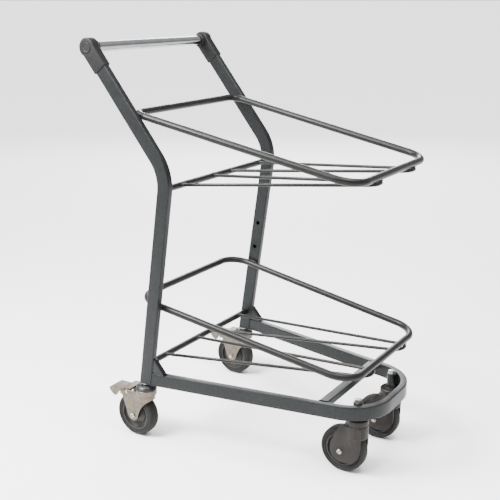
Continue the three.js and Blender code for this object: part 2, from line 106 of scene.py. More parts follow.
def setCamera():
    a, e = math.radians(shot["azimuth"]), math.radians(shot["elevation"])
    back = Vector((math.sin(a) * math.cos(e), -math.cos(a) * math.cos(e), math.sin(e)))
    data = bpy.data.cameras.new("camera")
    data.lens = shot["lens"]
    data.sensor_width = shot["sensor"]
    camera = bpy.data.objects.new("camera", data)
    camera.location = at(*shot["target"]) + back * shot["distance"]
    camera.rotation_euler = (-back).to_track_quat("-Z", "Y").to_euler()
    bpy.context.scene.collection.objects.link(camera)
    bpy.context.scene.camera = camera


def addLight(name, place, target, size, power):
    data = bpy.data.lights.new(name, "AREA")
    data.shape = "RECTANGLE"
    data.size, data.size_y = size
    data.energy = power
    light = bpy.data.objects.new(name, data)
    light.location = place
    light.rotation_euler = (Vector(target) - Vector(place)).to_track_quat("-Z", "Y").to_euler()
    bpy.context.scene.collection.objects.link(light)


def setStudio():
    world = bpy.data.worlds.new("studio")
    world.use_nodes = True
    tree = world.node_tree
    tree.nodes.clear()
    ray = addNode(tree, "ShaderNodeTexCoord")
    toBright = addNode(tree, "ShaderNodeVectorMath", {0: ray.outputs["Generated"],
                                                      1: Vector(studio["brightSide"]).normalized()},
                       operation="DOT_PRODUCT").outputs["Value"]
    strength = addNode(tree, "ShaderNodeMapRange", {"Value": toBright, "From Min": -0.4, "From Max": 1.0,
                                                    "To Min": studio["dimmest"],
                                                    "To Max": studio["brightest"]}).outputs[0]
    background = addNode(tree, "ShaderNodeBackground", {"Color": (1, 1, 1, 1), "Strength": strength})
    addNode(tree, "ShaderNodeOutputWorld", {"Surface": background.outputs[0]})
    bpy.context.scene.world = world
    silk = bpy.data.lights.new("overhead silk", "SUN")
    silk.energy = studio["silkStrength"]
    silk.angle = math.radians(studio["silkSpread"])
    overhead = bpy.data.objects.new("overhead silk", silk)
    overhead.rotation_euler = (-Vector(studio["silkFrom"])).to_track_quat("-Z", "Y").to_euler()
    bpy.context.scene.collection.objects.link(overhead)
    for name, (place, target, size, power) in softboxes.items():
        addLight(name, place, target, size, power)
    bm = bmesh.new()
    half = studio["floorSize"] / 2
    corners = ((-1, -1), (1, -1), (1, 1), (-1, 1))
    bm.faces.new([bm.verts.new((x * half, y * half, 0)) for x, y in corners])
    mesh = bpy.data.meshes.new("floor")
    bm.to_mesh(mesh)
    bm.free()
    floor = bpy.data.objects.new("floor", mesh)
    bpy.context.scene.collection.objects.link(floor)
    material, tree = newMaterial("matt white paper sweep")
    shader = addNode(tree, "ShaderNodeBsdfPrincipled", {
        "Base Color": linear(studio["floorHex"]), "Roughness": 0.9, "Specular IOR Level": 0.2})
    finishMaterial(tree, shader)
    mesh.materials.append(material)


# ---- materials
def grainAt(tree, sizeMm, detail=3.0, rough=0.55, stretch=(1, 1, 1)):
    # noise whose lumps are about sizeMm across, in the piece's own space
    place = addNode(tree, "ShaderNodeTexCoord")
    scaled = addNode(tree, "ShaderNodeMapping", {"Vector": place.outputs["Object"], "Scale": stretch})
    return addNode(tree, "ShaderNodeTexNoise", {
        "Vector": scaled.outputs[0], "Scale": 1000 / sizeMm, "Detail": detail,
        "Roughness": rough}).outputs["Fac"]


def between(tree, factor, low, high):
    # a plain number that follows factor from low to high
    return addNode(tree, "ShaderNodeMapRange", {
        "Value": factor, "From Min": 0.3, "From Max": 0.7, "To Min": low, "To Max": high}).outputs[0]


def mixed(tree, factor, one, two):
    made = addNode(tree, "ShaderNodeMix", {"Factor": factor}, data_type="RGBA")
    for socket, value in ((made.inputs[6], one), (made.inputs[7], two)):
        if isinstance(value, bpy.types.NodeSocket):
            tree.links.new(value, socket)
        else:
            socket.default_value = value
    return made.outputs[2]


def powderCoat(name, darkHex, midHex, lightHex, flakeMm=0.7):
    # polyester powder coat, sprayed and baked: metallic flake under a satin skin with orange peel,
    # which the eye reads as soft grey steel. Real flake is far finer and is drawn coarse to show
    material, tree = newMaterial(name)
    flake = addNode(tree, "ShaderNodeTexVoronoi", {
        "Vector": addNode(tree, "ShaderNodeTexCoord").outputs["Object"], "Scale": 1000 / flakeMm})
    mottle = grainAt(tree, 4, 4)
    peel = grainAt(tree, 1.6, 2)
    broad = grainAt(tree, 90, 2)
    base = mixed(tree, between(tree, mottle, 0, 1), linear(darkHex), linear(midHex))
    sparkle = addNode(tree, "ShaderNodeMapRange", {
        "Value": flake.outputs["Color"], "From Min": 0.6, "From Max": 1.0,
        "To Min": 0.0, "To Max": 0.3}).outputs[0]
    tinted = mixed(tree, sparkle, base, linear(lightHex))
    bump = addNode(tree, "ShaderNodeBump", {"Height": peel, "Strength": 0.22, "Distance": 0.00035})
    shader = addNode(tree, "ShaderNodeBsdfPrincipled", {
        "Base Color": tinted, "Metallic": 0.6, "Roughness": between(tree, broad, 0.32, 0.44),
        "Normal": bump.outputs[0], "Specular IOR Level": 0.2})
    finishMaterial(tree, shader)
    return material


def chromePlate():
    # bright nickel-chrome on polished tube: mirror-like, with hair scratches round the bar
    material, tree = newMaterial("chrome plate, polished")
    hair = grainAt(tree, 6, 6, 0.7, (1, 14, 1))
    cloud = grainAt(tree, 30, 3)
    bump = addNode(tree, "ShaderNodeBump", {"Height": hair, "Strength": 0.06, "Distance": 0.0002})
    shader = addNode(tree, "ShaderNodeBsdfPrincipled", {
        "Base Color": mixed(tree, cloud, linear("#8a8c8e"), linear("#a6a8aa")), "Metallic": 1.0,
        "Roughness": between(tree, hair, 0.1, 0.24), "Normal": bump.outputs[0]})
    finishMaterial(tree, shader)
    return material


def mouldedPlastic(name, darkHex, lightHex, rough, sparkMm=0.9, depth=0.5):
    # injection moulded in a spark-eroded tool: matt, with a fine even grain and faint flow clouds
    material, tree = newMaterial(name)
    cloud = grainAt(tree, 22, 3)
    spark = grainAt(tree, sparkMm, 3, 0.6)
    bump = addNode(tree, "ShaderNodeBump", {"Height": spark, "Strength": depth, "Distance": 0.00018})
    shader = addNode(tree, "ShaderNodeBsdfPrincipled", {
        "Base Color": mixed(tree, between(tree, cloud, 0, 1), linear(darkHex), linear(lightHex)),
        "Roughness": between(tree, spark, rough - 0.06, rough + 0.08), "Normal": bump.outputs[0],
        "Specular IOR Level": 0.18})
    finishMaterial(tree, shader)
    return material


def zincPlate(name, darkHex, lightHex, rough):
    # electroplated zinc on pressed steel: soft warm sheen, faint cloudy spangle and rolling lines
    material, tree = newMaterial(name)
    cloud = grainAt(tree, 9, 5, 0.62)
    lines = grainAt(tree, 3, 4, 0.6, (0.25, 1, 3))
    bump = addNode(tree, "ShaderNodeBump", {"Height": lines, "Strength": 0.12, "Distance": 0.00012})
    shader = addNode(tree, "ShaderNodeBsdfPrincipled", {
        "Base Color": mixed(tree, between(tree, cloud, 0, 1), linear(darkHex), linear(lightHex)),
        "Metallic": 0.9, "Roughness": between(tree, lines, rough - 0.07, rough + 0.1),
        "Normal": bump.outputs[0]})
    finishMaterial(tree, shader)
    return material


def tyreRubber():
    # moulded non-marking rubber: matt, with floor dust that lightens it in patches
    material, tree = newMaterial("moulded non-marking rubber")
    dust = grainAt(tree, 12, 6, 0.65)
    pores = grainAt(tree, 0.8, 3)
    bump = addNode(tree, "ShaderNodeBump", {"Height": pores, "Strength": 0.35, "Distance": 0.0002})
    shader = addNode(tree, "ShaderNodeBsdfPrincipled", {
        "Base Color": mixed(tree, between(tree, dust, 0, 0.8), linear("#181817"), linear("#262624")),
        "Roughness": between(tree, dust, 0.62, 0.82), "Normal": bump.outputs[0], "Specular IOR Level": 0.15})
    finishMaterial(tree, shader)
    return material


# the castor's zinc plate made darker to paint the shade that falls on the swivel race cover under the upright; it
# is the same plating, not a darker finish
shadedRaceZinc = zincPlate("zinc plate darkened as painted shade", "#303131", "#434443", 0.38)
finishes = {
    "frame_powder_coat": powderCoat("powder coat, frame grey", "#1c1d1e", "#242626", "#434647"),
    "rail_powder_coat": powderCoat("powder coat, ring grey", "#1a1a19", "#232322", "#424240"),
    "handle_chrome": chromePlate(),
    "joint_plastic": mouldedPlastic("moulded nylon, dark grey", "#101010", "#171616", 0.5),
    "castor_nylon": mouldedPlastic("glass-filled nylon, brown grey", "#151210", "#1d1917", 0.42, 1.2, 0.35),
    "castor_zinc": zincPlate("zinc plate on pressed steel", "#4e483f", "#675f55", 0.36),
    "fastener_zinc": zincPlate("bright zinc plate on turned steel", "#85827c", "#a19e98", 0.27),
    "tyre_rubber": tyreRubber(),
    "wheel_core": mouldedPlastic("moulded polypropylene, grey", "#20201f", "#2b2b2a", 0.45, 1.4, 0.25),
}


# ---- making meshes
def addPiece(name, bm, slotName, body, stands=(), sharp=32):
    bmesh.ops.recalc_face_normals(bm, faces=bm.faces)
    mesh = bpy.data.meshes.new(name)
    bm.to_mesh(mesh)
    bm.free()
    piece = bpy.data.objects.new(name, mesh)
    bpy.context.scene.collection.objects.link(piece)
    return dress(piece, slotName, body, stands, sharp)


def dress(piece, slotName, body, stands=(), sharp=32):
    mesh = piece.data
    mesh.shade_smooth()
    mesh.set_sharp_from_angle(angle=math.radians(sharp))
    mesh.materials.clear()
    mesh.materials.append(finishes[slotName])
    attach(piece, body)
    if stands:
        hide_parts(*stands)
    return piece


def draft(bm, name="draft"):
    # a loose object to be joined or cut before it becomes a piece
    bmesh.ops.recalc_face_normals(bm, faces=bm.faces)
    mesh = bpy.data.meshes.new(name)
    bm.to_mesh(mesh)
    bm.free()
    made = bpy.data.objects.new(name, mesh)
    bpy.context.scene.collection.objects.link(made)
    return made


def bake(thing):
    bpy.context.view_layer.update()
    shape = bpy.data.meshes.new_from_object(thing.evaluated_get(bpy.context.evaluated_depsgraph_get()))
    thing.modifiers.clear()
    thing.data = shape


def combine(body, tool, how):
    step = body.modifiers.new(how, "BOOLEAN")
    step.operation = how
    step.solver = "EXACT"
    step.object = tool
    bake(body)
    bpy.data.objects.remove(tool)


def softenEdges(thing, width, segments=3, angle=40):
    step = thing.modifiers.new("edges", "BEVEL")
    step.width = width / 1000
    step.segments = segments
    step.limit_method = "ANGLE"
    step.angle_limit = math.radians(angle)
    step.use_clamp_overlap = True
    bake(thing)


def bentPath(corners, perBend=16, closed=False):
    # corners are (place, bend radius in mm): one step for a straight run, many for a bend
    places = [corner[0] for corner in corners]
    path = []
    for i, (place, radiusMm) in enumerate(corners):
        arriving = (place - places[i - 1]).normalized()
        leaving = (places[(i + 1) % len(places)] - place).normalized()
        if not closed and i in (0, len(corners) - 1):
            path.append((place, leaving if i == 0 else arriving))
            continue
        radius = radiusMm / 1000
        turn = arriving.angle(leaving)
        inward = (leaving - arriving * arriving.dot(leaving)).normalized()
        centre = place - arriving * radius * math.tan(turn / 2) + inward * radius
        for step in range(perBend + 1):
            angle = turn * step / perBend
            point = centre - inward * radius * math.cos(angle) + arriving * radius * math.sin(angle)
            path.append((point, arriving * math.cos(angle) + inward * math.sin(angle)))
    return path


def circleOutline(radius, count=32):
    angles = [2 * math.pi * k / count for k in range(count)]
    return [(radius * math.cos(a), radius * math.sin(a)) for a in angles]


def softened(points, radius, steps=4, closed=True):
    # rounds the corners of an outline; an open one keeps its two ends
    made = []
    count = len(points)
    for i, point in enumerate(points):
        here = Vector(point)
        if not closed and i in (0, count - 1):
            made.append(tuple(here))
            continue
        before, after = Vector(points[i - 1]) - here, Vector(points[(i + 1) % count]) - here
        reach = min(radius, before.length * 0.45, after.length * 0.45)
        start, end = here + before.normalized() * reach, here + after.normalized() * reach
        for step in range(steps + 1):
            t = step / steps
            made.append(tuple(start * (1 - t) ** 2 + here * 2 * t * (1 - t) + end * t * t))
    return made


def boxOutline(width, height, corner):
    w, h = width / 2, height / 2
    return softened([(-w, -h), (w, -h), (w, h), (-w, h)], corner, 5)


def sweep(bm, path, outline, normal, closed=False, inner=None):
    # outline holds (across, along normal) pairs in mm; normal is square to the plane of the path
    def loopsOf(shape):
        loops = []
        for point, heading in path:
            across = normal.cross(heading).normalized()
            loops.append([bm.verts.new(point + (across * a + normal * b) / 1000) for a, b in shape])
        return loops

    def skin(loops):
        for i in range(len(loops) - (0 if closed else 1)):
            one, two = loops[i], loops[(i + 1) % len(loops)]
            for k in range(len(one)):
                bm.faces.new((one[k - 1], one[k], two[k], two[k - 1]))

    outside = loopsOf(outline)
    skin(outside)
    if inner:
        inside = loopsOf(inner)
        skin(inside)
        for end in (0, -1):
            for k in range(len(outline)):
                bm.faces.new((outside[end][k - 1], outside[end][k], inside[end][k], inside[end][k - 1]))
    elif not closed:
        bm.faces.new(outside[0])
        bm.faces.new(outside[-1])


def turn(bm, profile, centre, axis="Z", segments=64):
    # profile holds (radius, along axis) in mm, from axis to axis or all the way round a ring
    rings = []
    for radius, along in profile:
        ring = []
        for k in range(1 if radius == 0 else segments):
            a = 2 * math.pi * k / segments
            c, s = radius * math.cos(a), radius * math.sin(a)
            offset = (c, s, along) if axis == "Z" else (c, along, s)
            ring.append(bm.verts.new(centre + Vector(offset) / 1000))
        rings.append(ring)
    isRing = profile[0][0] > 0
    for i in range(len(rings) - (0 if isRing else 1)):
        one, two = rings[i], rings[(i + 1) % len(rings)]
        for k in range(segments):
            corners = [one[k % len(one)], one[(k + 1) % len(one)], two[(k + 1) % len(two)], two[k % len(two)]]
            corners = list(dict.fromkeys(corners))
            bm.faces.new(corners)


def slab(bm, outline, low, high, centre, axis="Y"):
    # a flat plate: outline in (x, z) for axis Y, (y, z) for axis X or (x, y) for axis Z, in mm
    def place(a, b, c):
        offset = {"Y": (a, c, b), "X": (c, a, b), "Z": (a, b, c)}[axis]
        return centre + Vector(offset) / 1000

    one = [bm.verts.new(place(a, b, low)) for a, b in outline]
    two = [bm.verts.new(place(a, b, high)) for a, b in outline]
    bm.faces.new(one)
    bm.faces.new(two)
    for k in range(len(one)):
        bm.faces.new((one[k - 1], one[k], two[k], two[k - 1]))


def bead(bm, points, radius, closed=True, pitch=2.4):
    # a weld bead: overlapping ripples laid along the joint, a little uneven as a hand weld is
    lengths = [0]
    count = len(points)
    for i in range(count - (0 if closed else 1)):
        lengths.append(lengths[-1] + (points[(i + 1) % count] - points[i]).length * 1000)
    total = lengths[-1]
    steps = max(int(total / (pitch / 3)), 6)
    loops = []
    for step in range(steps if closed else steps + 1):
        goal = total * step / steps
        i = max(k for k in range(len(lengths) - 1) if lengths[k] <= goal + 1e-9)
        share = (goal - lengths[i]) / max(lengths[i + 1] - lengths[i], 1e-6)
        one, two = points[i], points[(i + 1) % count]
        middle = one.lerp(two, share)
        heading = (two - one).normalized()
        ripple = 0.88 + 0.2 * abs(math.cos(math.pi * goal / pitch)) + 0.1 * noise.noise(middle * 300)
        if not closed:
            ripple *= min(1, 0.35 + 2.2 * min(goal, total - goal) / max(radius * 4, 0.1))
        up = Vector((0, 0, 1)) if abs(heading.z) < 0.9 else Vector((1, 0, 0))
        across = heading.cross(up).normalized()
        over = across.cross(heading)
        size = radius * ripple / 1000
        loops.append([bm.verts.new(middle + (across * c + over * s) * size) for c, s in circleOutline(1, 10)])
    for i in range(len(loops) - (0 if closed else 1)):
        one, two = loops[i], loops[(i + 1) % len(loops)]
        for k in range(len(one)):
            bm.faces.new((one[k - 1], one[k], two[k], two[k - 1]))
    if not closed:
        bm.faces.new(loops[0])
        bm.faces.new(loops[-1])


# ---- uprights
upright = {
    "foot": (3.7, 131), "knee": (75.7, 611.5), "bend": 95, "depth": 30, "thickness": 15,
    "corner": 2.6, "wall": 1.5, "hookHeights": (358, 420), "hookRadius": 5,
    "belowFoot": 12, "topGap": 15,  # the sweep starts low and is cut level, and stops under the bar
}
lean = math.atan2(upright["knee"][0] - upright["foot"][0], upright["knee"][1] - upright["foot"][1])
barLow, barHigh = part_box("handle_bar")
barCentre = (barLow + barHigh) / 2
barX, barZ = (barCentre.x - rearX) * 1000, barCentre.z * 1000
handleLean = math.atan2(upright["knee"][0] - barX, barZ - upright["knee"][1])


def uprightX(z):
    return upright["foot"][0] + math.tan(lean) * (z - upright["foot"][1])


def middleY(node):
    low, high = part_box(node)
    return (low.y + high.y) * 500


def makeUprights():
    for side, sign in sides.items():
        y = middleY(f"upright_{side}")
        below = upright["foot"][1] - upright["belowFoot"]
        topX = barX + math.sin(handleLean) * upright["topGap"]
        topZ = barZ - math.cos(handleLean) * upright["topGap"]
        kneeX, kneeZ = upright["knee"]
        path = bentPath([(at(uprightX(below), y, below), 0), (at(kneeX, y, kneeZ), upright["bend"]),
                         (at(topX, y, topZ), 0)], 28)
        outline = boxOutline(upright["depth"], upright["thickness"], upright["corner"])
        wall = 2 * upright["wall"]
        inner = boxOutline(upright["depth"] - wall, upright["thickness"] - wall,
                           upright["corner"] - 1)
        bm = bmesh.new()
        sweep(bm, path, outline, Vector((0, 1, 0)), inner=inner)
        post = draft(bm)
        bm = bmesh.new()
        floorCut = [(-60, 60), (80, 60), (80, upright["foot"][1]), (-60, upright["foot"][1])]
        slab(bm, floorCut, y - 30, y + 30, at(0, 0, 0))
        combine(post, draft(bm), "DIFFERENCE")
        for z in upright["hookHeights"]:
            bm = bmesh.new()
            innerFace = y - sign * upright["thickness"] / 2
            hole = circleOutline(upright["hookRadius"], 40)
            slab(bm, hole, innerFace - 5, innerFace + 5, at(uprightX(z), 0, z))
            combine(post, draft(bm), "DIFFERENCE")
        post.name = f"post_{side}"
        dress(post, "frame_powder_coat", "frame", [f"upright_{side}"])


# ---- base
base = {
    "low": 131, "high": 161, "startX": 16, "sideY": 203.9, "taper": 0.1937, "frontX": 510.5,
    "corner": 92.5, "crossX": 404.5, "crossWidth": 20, "crossHeight": 15,
    "gussetHeight": 32, "gussetLength": 33, "gussetThickness": 12,
}


def sideY(x):
    return base["sideY"] - base["taper"] * x


def makeBase():
    z = (base["low"] + base["high"]) / 2
    startX, frontX, bend = base["startX"], base["frontX"], base["corner"]
    corners = [(at(startX, sideY(startX), z), 0), (at(frontX, sideY(frontX), z), bend),
               (at(frontX, -sideY(frontX), z), bend), (at(startX, -sideY(startX), z), 0)]
    bm = bmesh.new()
    outline = boxOutline(upright["thickness"], upright["depth"], upright["corner"])
    sweep(bm, bentPath(corners, 36), outline, Vector((0, 0, 1)), inner=boxOutline(12, 27, 1.6))
    addPiece("base_frame", bm, "frame_powder_coat", "frame", ["base_tube"])
    bm = bmesh.new()
    crossZ = base["high"] - base["crossHeight"] / 2
    reach = sideY(base["crossX"]) - 4
    path = [(at(base["crossX"], y, crossZ), Vector((0, 1, 0))) for y in (-reach, reach)]
    outline = boxOutline(base["crossWidth"], base["crossHeight"], 2.2)
    sweep(bm, path, outline, Vector((0, 0, 1)), inner=boxOutline(17, 12, 1.2))
    addPiece("cross_member", bm, "frame_powder_coat", "frame", ["base_cross_tube"])
    for side in sides:
        makeGusset(side)
        makeSleeve(side)


def makeGusset(side):
    y = middleY(f"gusset_{side}")
    low = base["high"]
    foot = uprightX(low) + upright["depth"] / 2
    toe, top = foot + base["gussetLength"], low + base["gussetHeight"]
    outline = [(foot - 6, low - 2), (toe - 1, low - 2), (toe, low + 2.5), (foot + 8, top),
               (foot - 1, top)]
    bm = bmesh.new()
    half = base["gussetThickness"] / 2
    slab(bm, softened(outline, 2, 3), y - half, y + half, at(0, 0, 0))
    web = draft(bm, f"gusset_web_{side}")
    softenEdges(web, 1.0)
    dress(web, "frame_powder_coat", "frame", [f"gusset_{side}"])


def makeSleeve(side):
    node = f"castor_sleeve_{side}"
    low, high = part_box(node)
    centre = (low + high) / 2
    outer = (high.x - low.x) * 500
    half = (high.z - low.z) * 500
    bm = bmesh.new()
    turn(bm, softened([(6.3, -half), (outer, -half), (outer, half), (6.3, half)], 0.8), centre)
    addPiece(f"sleeve_{side}", bm, "frame_powder_coat", "frame", [node])


# ---- basket rings and wire floors
ringTube = 7.5
wire = {"radius": 3.5, "tipOuter": 98, "tipInner": 62, "tipBend": 17, "reach": 6}
tiers = {
    "upper": {"rear": (-17, 726.7), "front": (486, 630), "rearY": 184.2, "frontY": 169,
              "rearBend": 25, "frontBend": 48, "crossbar": (70.4, 579.4), "rise": 1.5,
              "outerY": 150, "innerY": 33, "weldX": -3, "weldHalf": 13},
    "lower": {"rear": (-24.2, 323.5), "front": (487, 240.3), "rearY": 186, "frontY": 163,
              "rearBend": 48, "frontBend": 52, "crossbar": (11.65, 179.9), "rise": 5,
              "outerY": 147, "innerY": 28, "weldX": 31, "weldHalf": 15},
}
crossbarRadius = 7


def makeRing(name, tier):
    (backX, backZ), (frontX, frontZ) = tier["rear"], tier["front"]
    backY, frontY = tier["rearY"], tier["frontY"]
    corners = [(at(backX, backY, backZ), tier["rearBend"]),
               (at(frontX, frontY, frontZ), tier["frontBend"]),
               (at(frontX, -frontY, frontZ), tier["frontBend"]),
               (at(backX, -backY, backZ), tier["rearBend"])]
    slope = (at(frontX, 0, frontZ) - at(backX, 0, backZ)).normalized()
    normal = slope.cross(Vector((0, 1, 0))).normalized()
    bm = bmesh.new()
    sweep(bm, bentPath(corners, 20, closed=True), circleOutline(ringTube), normal, closed=True)
    addPiece(f"{name}_ring", bm, "rail_powder_coat", "frame", [f"{name}_rail"])


def wirePath(tier, sign):
    startX = tier["crossbar"][0] + crossbarRadius - 1
    startZ = tier["crossbar"][1] + tier["rise"]
    underZ = tier["front"][1] - ringTube - wire["radius"] - 0.3
    slope = (underZ - startZ) / (tier["front"][0] - startX)
    tipX = tier["front"][0] + wire["reach"]
    tipZ = startZ + slope * (tipX - startX)
    return bentPath([(at(startX, sign * tier["outerY"], startZ), 0),
                     (at(tipX, sign * wire["tipOuter"], tipZ), wire["tipBend"]),
                     (at(tipX, sign * wire["tipInner"], tipZ), wire["tipBend"]),
                     (at(startX, sign * tier["innerY"], startZ), 0)], 14)


def makeFloor(name, tier):
    x, z = tier["crossbar"]
    reach = abs(middleY("upright_left")) - upright["thickness"] / 2 + 1
    bm = bmesh.new()
    path = [(at(x, y, z), Vector((0, 1, 0))) for y in (-reach, reach)]
    sweep(bm, path, circleOutline(crossbarRadius), Vector((0, 0, 1)))
    addPiece(f"{name}_cross_rail", bm, "rail_powder_coat", "frame", [f"{name}_crossbar"])
    for side, sign in sides.items():
        path = wirePath(tier, sign)
        first, last = path[0][0], path[-1][0]
        middle = path[len(path) // 2][0]
        normal = (first - middle).cross(last - middle).normalized()
        bm = bmesh.new()
        sweep(bm, path, circleOutline(wire["radius"], 20), normal)
        addPiece(f"{name}_wire_{side}", bm, "rail_powder_coat", "frame", [f"{name}_floor_rod_{side}"])


# ---- welds
def ovalOn(x, y, z, halfX, halfZ, tilt=0):
    # points of an oval on a plane that faces along Y
    made = []
    for k in range(36):
        a = 2 * math.pi * k / 36
        u, v = halfX * math.cos(a), halfZ * math.sin(a)
        made.append(at(x + u * math.cos(tilt) - v * math.sin(tilt), y,
                       z + u * math.sin(tilt) + v * math.cos(tilt)))
    return made


def crossings(tier, sign):
    # where a floor wire passes under the ring's front bar, and which way it runs there
    places = [place for place, heading in wirePath(tier, sign)]
    bar = at(tier["front"][0], 0, 0).x
    return [(one.lerp(two, (bar - one.x) / (two.x - one.x)), (two - one).normalized())
            for one, two in zip(places, places[1:]) if (one.x - bar) * (two.x - bar) < 0]


def makeWelds():
    face = abs(middleY("upright_left")) - upright["thickness"] / 2
    bm = bmesh.new()
    for tier in tiers.values():
        x, z = tier["crossbar"]
        slope = math.atan2(tier["front"][1] - tier["rear"][1], tier["front"][0] - tier["rear"][0])
        ringX = tier["weldX"]
        ringZ = tier["rear"][1] + math.tan(slope) * (ringX - tier["rear"][0])
        for sign in sides.values():
            barWeld = crossbarRadius + 0.6
            bead(bm, ovalOn(x, sign * (face - 0.4), z, barWeld, barWeld), 1.7)
            bead(bm, ovalOn(ringX, sign * (face - 1.2), ringZ, tier["weldHalf"], 5.4, slope), 2.2)
            for y in (tier["outerY"], tier["innerY"]):
                spotX, spotZ = x + crossbarRadius - 0.6, z + tier["rise"]
                ring = [at(spotX, sign * y + a, spotZ + b)
                        for a, b in circleOutline(wire["radius"] + 0.3, 20)]
                bead(bm, ring, 1.0, pitch=1.8)
            for place, heading in crossings(tier, sign):
                across = heading.cross(Vector((0, 0, 1))).normalized()
                for edge in (-1, 1):
                    middle = place + (across * edge * 2.9 + Vector((0, 0, 3.3))) / 1000
                    ends = [middle - heading * 0.0038, middle + heading * 0.0038]
                    bead(bm, ends, 1.2, closed=False, pitch=1.8)
    addPiece("rail_welds", bm, "rail_powder_coat", "frame", sharp=60)
    makeBaseWelds()


def makeBaseWelds():
    bm = bmesh.new()
    high, low = base["high"], base["low"]
    for side, sign in sides.items():
        loop = []
        for b, a in boxOutline(upright["depth"] + 0.6, upright["thickness"] + 0.6, 3):
            z = (high + low) / 2 + b
            x = uprightX(z) + upright["depth"] / 2 / math.cos(lean) + 0.2
            loop.append(at(x, sign * (sideY(x) + a), z))
        bead(bm, loop, 1.7)
        y = middleY(f"gusset_{side}")
        half = base["gussetThickness"] / 2
        foot = uprightX(high) + upright["depth"] / 2
        toe, top = foot + base["gussetLength"] - 1, high + base["gussetHeight"] - 1
        for edge in (y - half, y + half):
            bead(bm, [at(foot + 2, edge, high + 0.3), at(toe, edge, high + 0.3)], 1.4, False)
            bead(bm, [at(uprightX(high + 3) + 15.5, edge, high + 3),
                      at(uprightX(top) + 15.5, edge, top)], 1.4, False)
        crossZ = high - base["crossHeight"] / 2
        rim = []
        for a, b in boxOutline(base["crossWidth"] + 0.4, base["crossHeight"] + 0.4, 2.4):
            x = base["crossX"] + a
            rim.append(at(x, sign * (sideY(x) - 7.9), crossZ + b))
        bead(bm, rim, 1.4)
        sleeveLow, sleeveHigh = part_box(f"castor_sleeve_{side}")
        centre = (sleeveLow + sleeveHigh) / 2
        cornerCentre = at(base["frontX"] - base["corner"], sign * 28.7, 0)
        outward = Vector((centre.x - cornerCentre.x, centre.y - cornerCentre.y, 0)).normalized()
        across = Vector((-outward.y, outward.x, 0))
        touch = Vector((centre.x, centre.y, 0)) + outward * 0.0085
        for edge in (-1, 1):
            foot = touch + across * edge * 0.0062
            bead(bm, [foot + Vector((0, 0, low / 1000 + 0.002)),
                      foot + Vector((0, 0, high / 1000 - 0.001))], 1.7, False)
        lip = touch + Vector((0, 0, high / 1000 - 0.0008))
        bead(bm, [lip + across * s for s in (-0.006, 0, 0.006)], 1.6, False)
    addPiece("base_welds", bm, "frame_powder_coat", "frame", sharp=60)


# ---- handle
joint = {
    "dome": 20, "length": 55, "width": 34.3, "inner": 189.9, "outer": 209.1, "collar": 15,
    "collarY": 180, "cap": 11.5, "edge": 1.8,
}


def hung(x, z):
    # a place in the handle joint, x across it and z along it, turned to hang down the upright
    c, s = math.cos(handleLean), math.sin(handleLean)
    return (barX + x * c - z * s, barZ + x * s + z * c)


def makeHandle():
    radius = (barHigh.z - barLow.z) * 500
    half = (barHigh.y - barLow.y) * 500
    bm = bmesh.new()
    profile = [(radius - 1.5, -half), (radius, -half), (radius, half), (radius - 1.5, half)]
    turn(bm, softened(profile, 0.5), barCentre, "Y", 64)
    addPiece("chrome_bar", bm, "handle_chrome", "frame", ["handle_bar"], sharp=50)
    for side, sign in sides.items():
        makeJoint(side, sign, radius)


def makeJoint(side, sign, barRadius):
    half, dome, edge = joint["width"] / 2, joint["dome"], joint["edge"]
    outline = [(half, -joint["length"]), (half + 0.3, -8)]
    start = math.atan2(-2, half)
    for k in range(29):
        a = start + (math.pi - 2 * start) * k / 28
        outline.append((dome * math.cos(a), dome * math.sin(a)))
    outline += [(-half - 0.3, -8), (-half, -joint["length"])]
    bm = bmesh.new()
    low, high = sorted((sign * joint["inner"], sign * joint["outer"]))
    slab(bm, [hung(x, z) for x, z in outline], low, high, at(0, 0, 0))
    shell = draft(bm, f"joint_{side}")
    softenEdges(shell, edge, 4, 30)
    centre = at(barX, 0, barZ)
    bm = bmesh.new()
    collar, inner, face = joint["collar"], joint["inner"], joint["outer"]
    profile = [(barRadius - 3, joint["collarY"]), (collar - 0.6, joint["collarY"]),
               (collar, inner - 2.5), (collar + 1.6, inner + 0.6), (barRadius - 3, inner + 2)]
    turn(bm, softened([(r, sign * y) for r, y in profile], 1.2), centre, "Y")
    combine(shell, draft(bm), "UNION")
    bm = bmesh.new()
    slab(bm, circleOutline(barRadius + 0.25, 64), *sorted((sign * 170, sign * 204.3)), centre)
    combine(shell, draft(bm), "DIFFERENCE")
    bm = bmesh.new()
    recess = [(0, face - 2.3), (joint["cap"] + 0.7, face - 2.3), (joint["cap"] + 0.9, face + 3),
              (0, face + 3)]
    turn(bm, [(r, sign * y) for r, y in recess], centre, "Y")
    combine(shell, draft(bm), "DIFFERENCE")
    bm = bmesh.new()
    wide = upright["depth"] / 2 + 0.3
    pocket = [hung(x, z) for x, z in ((-wide, -70), (wide, -70), (wide, -14.7), (-wide, -14.7))]
    y = middleY(f"upright_{side}")
    slab(bm, pocket, y - 7.8, y + 7.8, at(0, 0, 0))
    combine(shell, draft(bm), "DIFFERENCE")
    dress(shell, "joint_plastic", "frame", [f"handle_joint_{side}"])
    bm = bmesh.new()
    cap = [(0, face - 2.2), (joint["cap"], face - 2.2), (joint["cap"], face + 0.5),
           (joint["cap"] - 2, face + 0.9), (joint["cap"] - 4, face + 0.3), (0, face + 0.5)]
    turn(bm, softened([(r, sign * y) for r, y in cap], 0.6, 3, closed=False), centre, "Y")
    addPiece(f"cap_{side}", bm, "joint_plastic", "frame", [f"handle_cap_{side}"])


